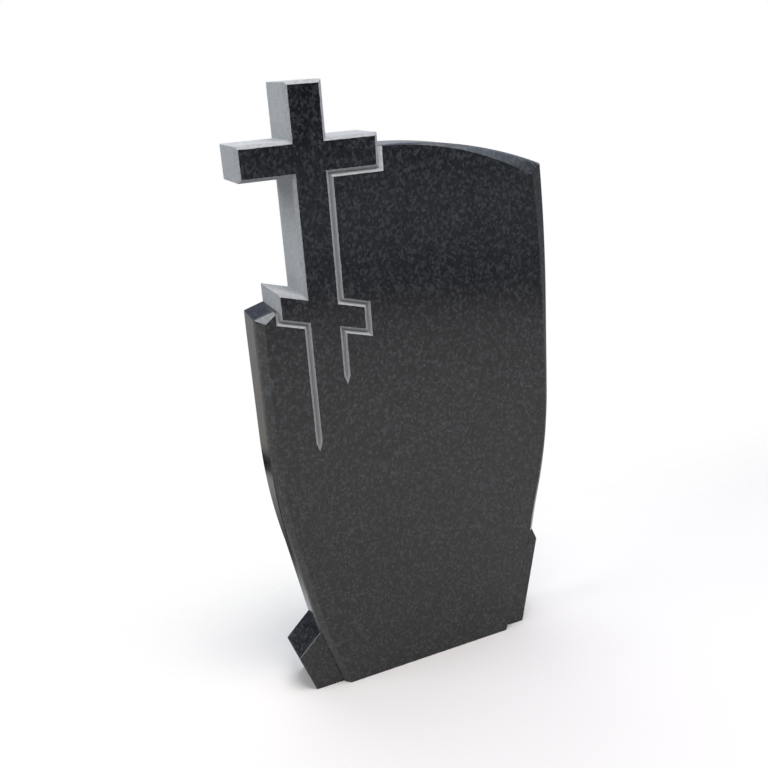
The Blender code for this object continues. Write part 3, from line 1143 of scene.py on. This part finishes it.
@dataclass
class Studio:
    """A pale floor under a soft dome of light and four softboxes, seen by one camera.

    The polished stone mirrors what stands round it, so the dome has a ramp of light for each of
    four sides. The floor ends softly where the stone would mirror too much of it.
    """

    floor_rings: tuple[float, ...] = (0.05, 0.4, 1.0, 1.8, 2.7)
    floor_corners: int = 96
    floor_fade: tuple[float, float] = (2.3, 2.68)
    back_fade: tuple[float, float] = (0.08, 0.45)
    left_fade: tuple[float, float] = (-1.45, -1.75)
    camera_place: tuple[float, float, float] = (-0.5463, -1.2350, 0.9849)
    camera_turn: tuple[float, float, float] = (70.122, 3.944, -23.688)
    camera_lens: float = 41.818
    sensor_width: float = 36.0
    dome_strength: float = 1.25
    lamps: tuple[Softbox, ...] = (
        Softbox("top_softbox", (0.15, -1.1, 3.2), 1.6, 72.0, "#FFF8F6"),
        Softbox("right_softbox", (2.14, 0.19, 2.4), 2.2, 13.6, "#DFEEFF"),
        Softbox("left_softbox", (-2.45, 0.1, 2.2), 1.6, 34.0, "#F9FCFF"),
        Softbox("back_softbox", (0.0, 1.0, 3.0), 1.6, 16.6, "#FFFFFF"),
    )

    def build(self) -> None:
        """Set up the floor, the light and the camera."""
        self.add_floor()
        for lamp in self.lamps:
            lamp.build()
        self.add_dome()
        self.add_camera()

    def add_floor(self) -> None:
        """Lay a round pale floor: rings of points at radius r and turn a, (r cos a, r sin a, 0)."""
        size = self.floor_corners
        turn = np.linspace(0.0, 2 * math.pi, size, endpoint=False)
        radius = np.array(self.floor_rings)[:, None]
        x, y = radius * np.cos(turn), radius * np.sin(turn)
        points = np.stack([x, y, np.zeros_like(x)], axis=-1).reshape(-1, 3)
        quads = ring_quads(len(self.floor_rings), size)[:, ::-1]
        mesh = bpy.data.meshes.new("floor")
        mesh.from_pydata(points.tolist(), [], quads.tolist() + [list(range(size))])
        floor = bpy.data.objects.new("floor", mesh)
        bpy.context.scene.collection.objects.link(floor)
        mesh.materials.append(self.floor_material())

    def floor_material(self) -> Material:
        """Make matt pale card that fades out at its rim, behind the stone and at the far left.

        The eye sees near-white card with the stone's soft shadow. Where light bounces from it to
        the matt faces of the stone it counts as a mid grey, so these aren't lit from below.

        Returns:
            The material.
        """
        material = bpy.data.materials.new("pale_floor")
        material.use_nodes = True
        tree = material.node_tree
        shader = tree.nodes["Principled BSDF"]
        ray = add_node(tree, "ShaderNodeLightPath")
        card = add_node(tree, "ShaderNodeMixRGB",
                        {"Fac": ray.outputs["Is Diffuse Ray"], "Color1": linear("#EFEEED"),
                         "Color2": linear("#A0A0A0")})
        tree.links.new(card.outputs["Color"], shader.inputs["Base Color"])
        shader.inputs["Roughness"].default_value = 0.9
        shader.inputs["Specular IOR Level"].default_value = 0.0
        place = add_node(tree, "ShaderNodeTexCoord").outputs["Object"]
        distance = add_node(tree, "ShaderNodeVectorMath", {0: place}, operation="LENGTH")
        parts = add_node(tree, "ShaderNodeSeparateXYZ", {"Vector": place})
        gone = 0.0
        for value, (start, end) in ((distance.outputs["Value"], self.floor_fade),
                                    (parts.outputs["Y"], self.back_fade),
                                    (parts.outputs["X"], self.left_fade)):
            fade = add_node(tree, "ShaderNodeMapRange",
                            {"Value": value, "From Min": start, "From Max": end},
                            interpolation_type="SMOOTHSTEP")
            gone = add_node(tree, "ShaderNodeMath", {0: gone, 1: fade.outputs["Result"]},
                            operation="MAXIMUM").outputs[0]
        clear = add_node(tree, "ShaderNodeBsdfTransparent")
        mixed = add_node(tree, "ShaderNodeMixShader", {"Fac": gone, 1: shader.outputs["BSDF"],
                                                       2: clear.outputs["BSDF"]})
        tree.links.new(mixed.outputs["Shader"], tree.nodes["Material Output"].inputs["Surface"])
        return material

    def dome_ramps(self) -> dict[Side, list[tuple[float, str]]]:
        """List the light on each side of the dome, from straight down (0) to straight up (1).

        Ahead, a bluish band lies just under the horizon (0.5), which the upper front mirrors.
        Astern, a narrow dark band near 0.29 gives the dark patch on the left side.

        Returns:
            Each side's stops: a place and an sRGB hex colour.
        """
        return {
            Side.AHEAD: [(0.38, "#535564"), (0.42, "#B6BDCC"), (0.46, "#647483"), (0.5, "#2B2B2B"),
                         (0.65, "#2B2B2B"), (0.75, "#484848"), (1, "#484848")],
            Side.ASTERN: [(0.235, "#161616"), (0.258, "#706F6F"), (0.278, "#9D9D9B"),
                          (0.2835, "#9B9A98"), (0.2845, "#020202"), (0.297, "#040404"),
                          (0.301, "#908C88"), (0.4, "#A19F9E"), (0.5, "#A3A8A9"),
                          (0.57, "#ACB4BF"), (0.65, "#2A204F"), (0.71, "#B0B9C2"),
                          (0.8, "#F3F7FA"), (1, "#5C5C5C")],
            Side.LEFT: [(0.25, "#AAAAAA"), (0.3, "#E4E4E4"), (0.34, "#FFFFFF"), (0.39, "#FFFFFF"),
                        (0.46, "#9A9A9A"), (0.53, "#383838"), (0.7, "#484848"), (1, "#616161")],
            Side.RIGHT: [(0.35, "#7B7D82"), (0.5, "#A2A3AB"), (0.65, "#595A62"), (0.72, "#C5CAE2"),
                         (0.77, "#B4B9C7"), (0.82, "#AEBED6"), (1, "#9FAAB9")],
        }

    def add_dome(self) -> None:
        """Light the stone from a dome with a ramp of its own ahead, astern, at the left and right.

        The ramp ahead turns into another side's between two shares of a direction's length along X
        or Y. The camera sees plain white where the dome is, as in the photograph.
        """
        world = bpy.data.worlds.new("studio")
        bpy.context.scene.world = world
        world.use_nodes = True
        tree = world.node_tree
        tree.nodes.clear()
        coordinate = add_node(tree, "ShaderNodeTexCoord").outputs["Generated"]
        parts = add_node(tree, "ShaderNodeSeparateXYZ", {"Vector": coordinate})
        lifted = add_node(tree, "ShaderNodeMapRange",
                          {"Value": parts.outputs["Z"], "From Min": -1.0})
        ramps = {}
        for side, stops in self.dome_ramps().items():
            ramps[side] = add_node(tree, "ShaderNodeValToRGB", {"Fac": lifted.outputs["Result"]})
            set_ramp(ramps[side], stops)
        sky = ramps[Side.AHEAD].outputs["Color"]
        for side, axis, start, end in ((Side.ASTERN, "Y", -0.5, 0.5), (Side.LEFT, "X", -0.45, -0.8),
                                       (Side.RIGHT, "X", 0.45, 0.8)):
            share = add_node(tree, "ShaderNodeMapRange",
                             {"Value": parts.outputs[axis], "From Min": start, "From Max": end})
            sky = add_node(tree, "ShaderNodeMixRGB",
                           {"Fac": share.outputs["Result"], "Color1": sky,
                            "Color2": ramps[side].outputs["Color"]}).outputs["Color"]
        dome = add_node(tree, "ShaderNodeBackground", {"Color": sky, "Strength": self.dome_strength})
        seen = add_node(tree, "ShaderNodeBackground", {"Color": linear("#FFFFFF"), "Strength": 1.0})
        ray = add_node(tree, "ShaderNodeLightPath")
        mixed = add_node(tree, "ShaderNodeMixShader", {"Fac": ray.outputs["Is Camera Ray"],
                                                       1: dome.outputs[0], 2: seen.outputs[0]})
        add_node(tree, "ShaderNodeOutputWorld", {"Surface": mixed.outputs[0]})

    def add_camera(self) -> None:
        """Place the camera as the photograph was taken: at the left, a little above the cross."""
        data = bpy.data.cameras.new("camera")
        data.lens = self.camera_lens
        data.sensor_width = self.sensor_width
        camera = bpy.data.objects.new("camera", data)
        camera.location = self.camera_place
        camera.rotation_euler = [math.radians(turn) for turn in self.camera_turn]
        bpy.context.scene.collection.objects.link(camera)
        bpy.context.scene.camera = camera


def main() -> None:
    """Load the frame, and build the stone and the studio."""
    logging.basicConfig(level=logging.INFO, format="%(name)s: %(message)s")
    LOG.info("frame: %s", ", ".join(frame["nodes"]))
    slab = Slab(*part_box("headstone"))
    Studio().build()
    stone = Headstone(slab).build()
    mesh = stone.data
    LOG.info("%s: %d vertices, %d faces", stone.name, len(mesh.vertices), len(mesh.polygons))
    bpy.context.scene.view_settings.view_transform = "Standard"
    bpy.context.view_layer.update()


if __name__ == "__main__":
    main()
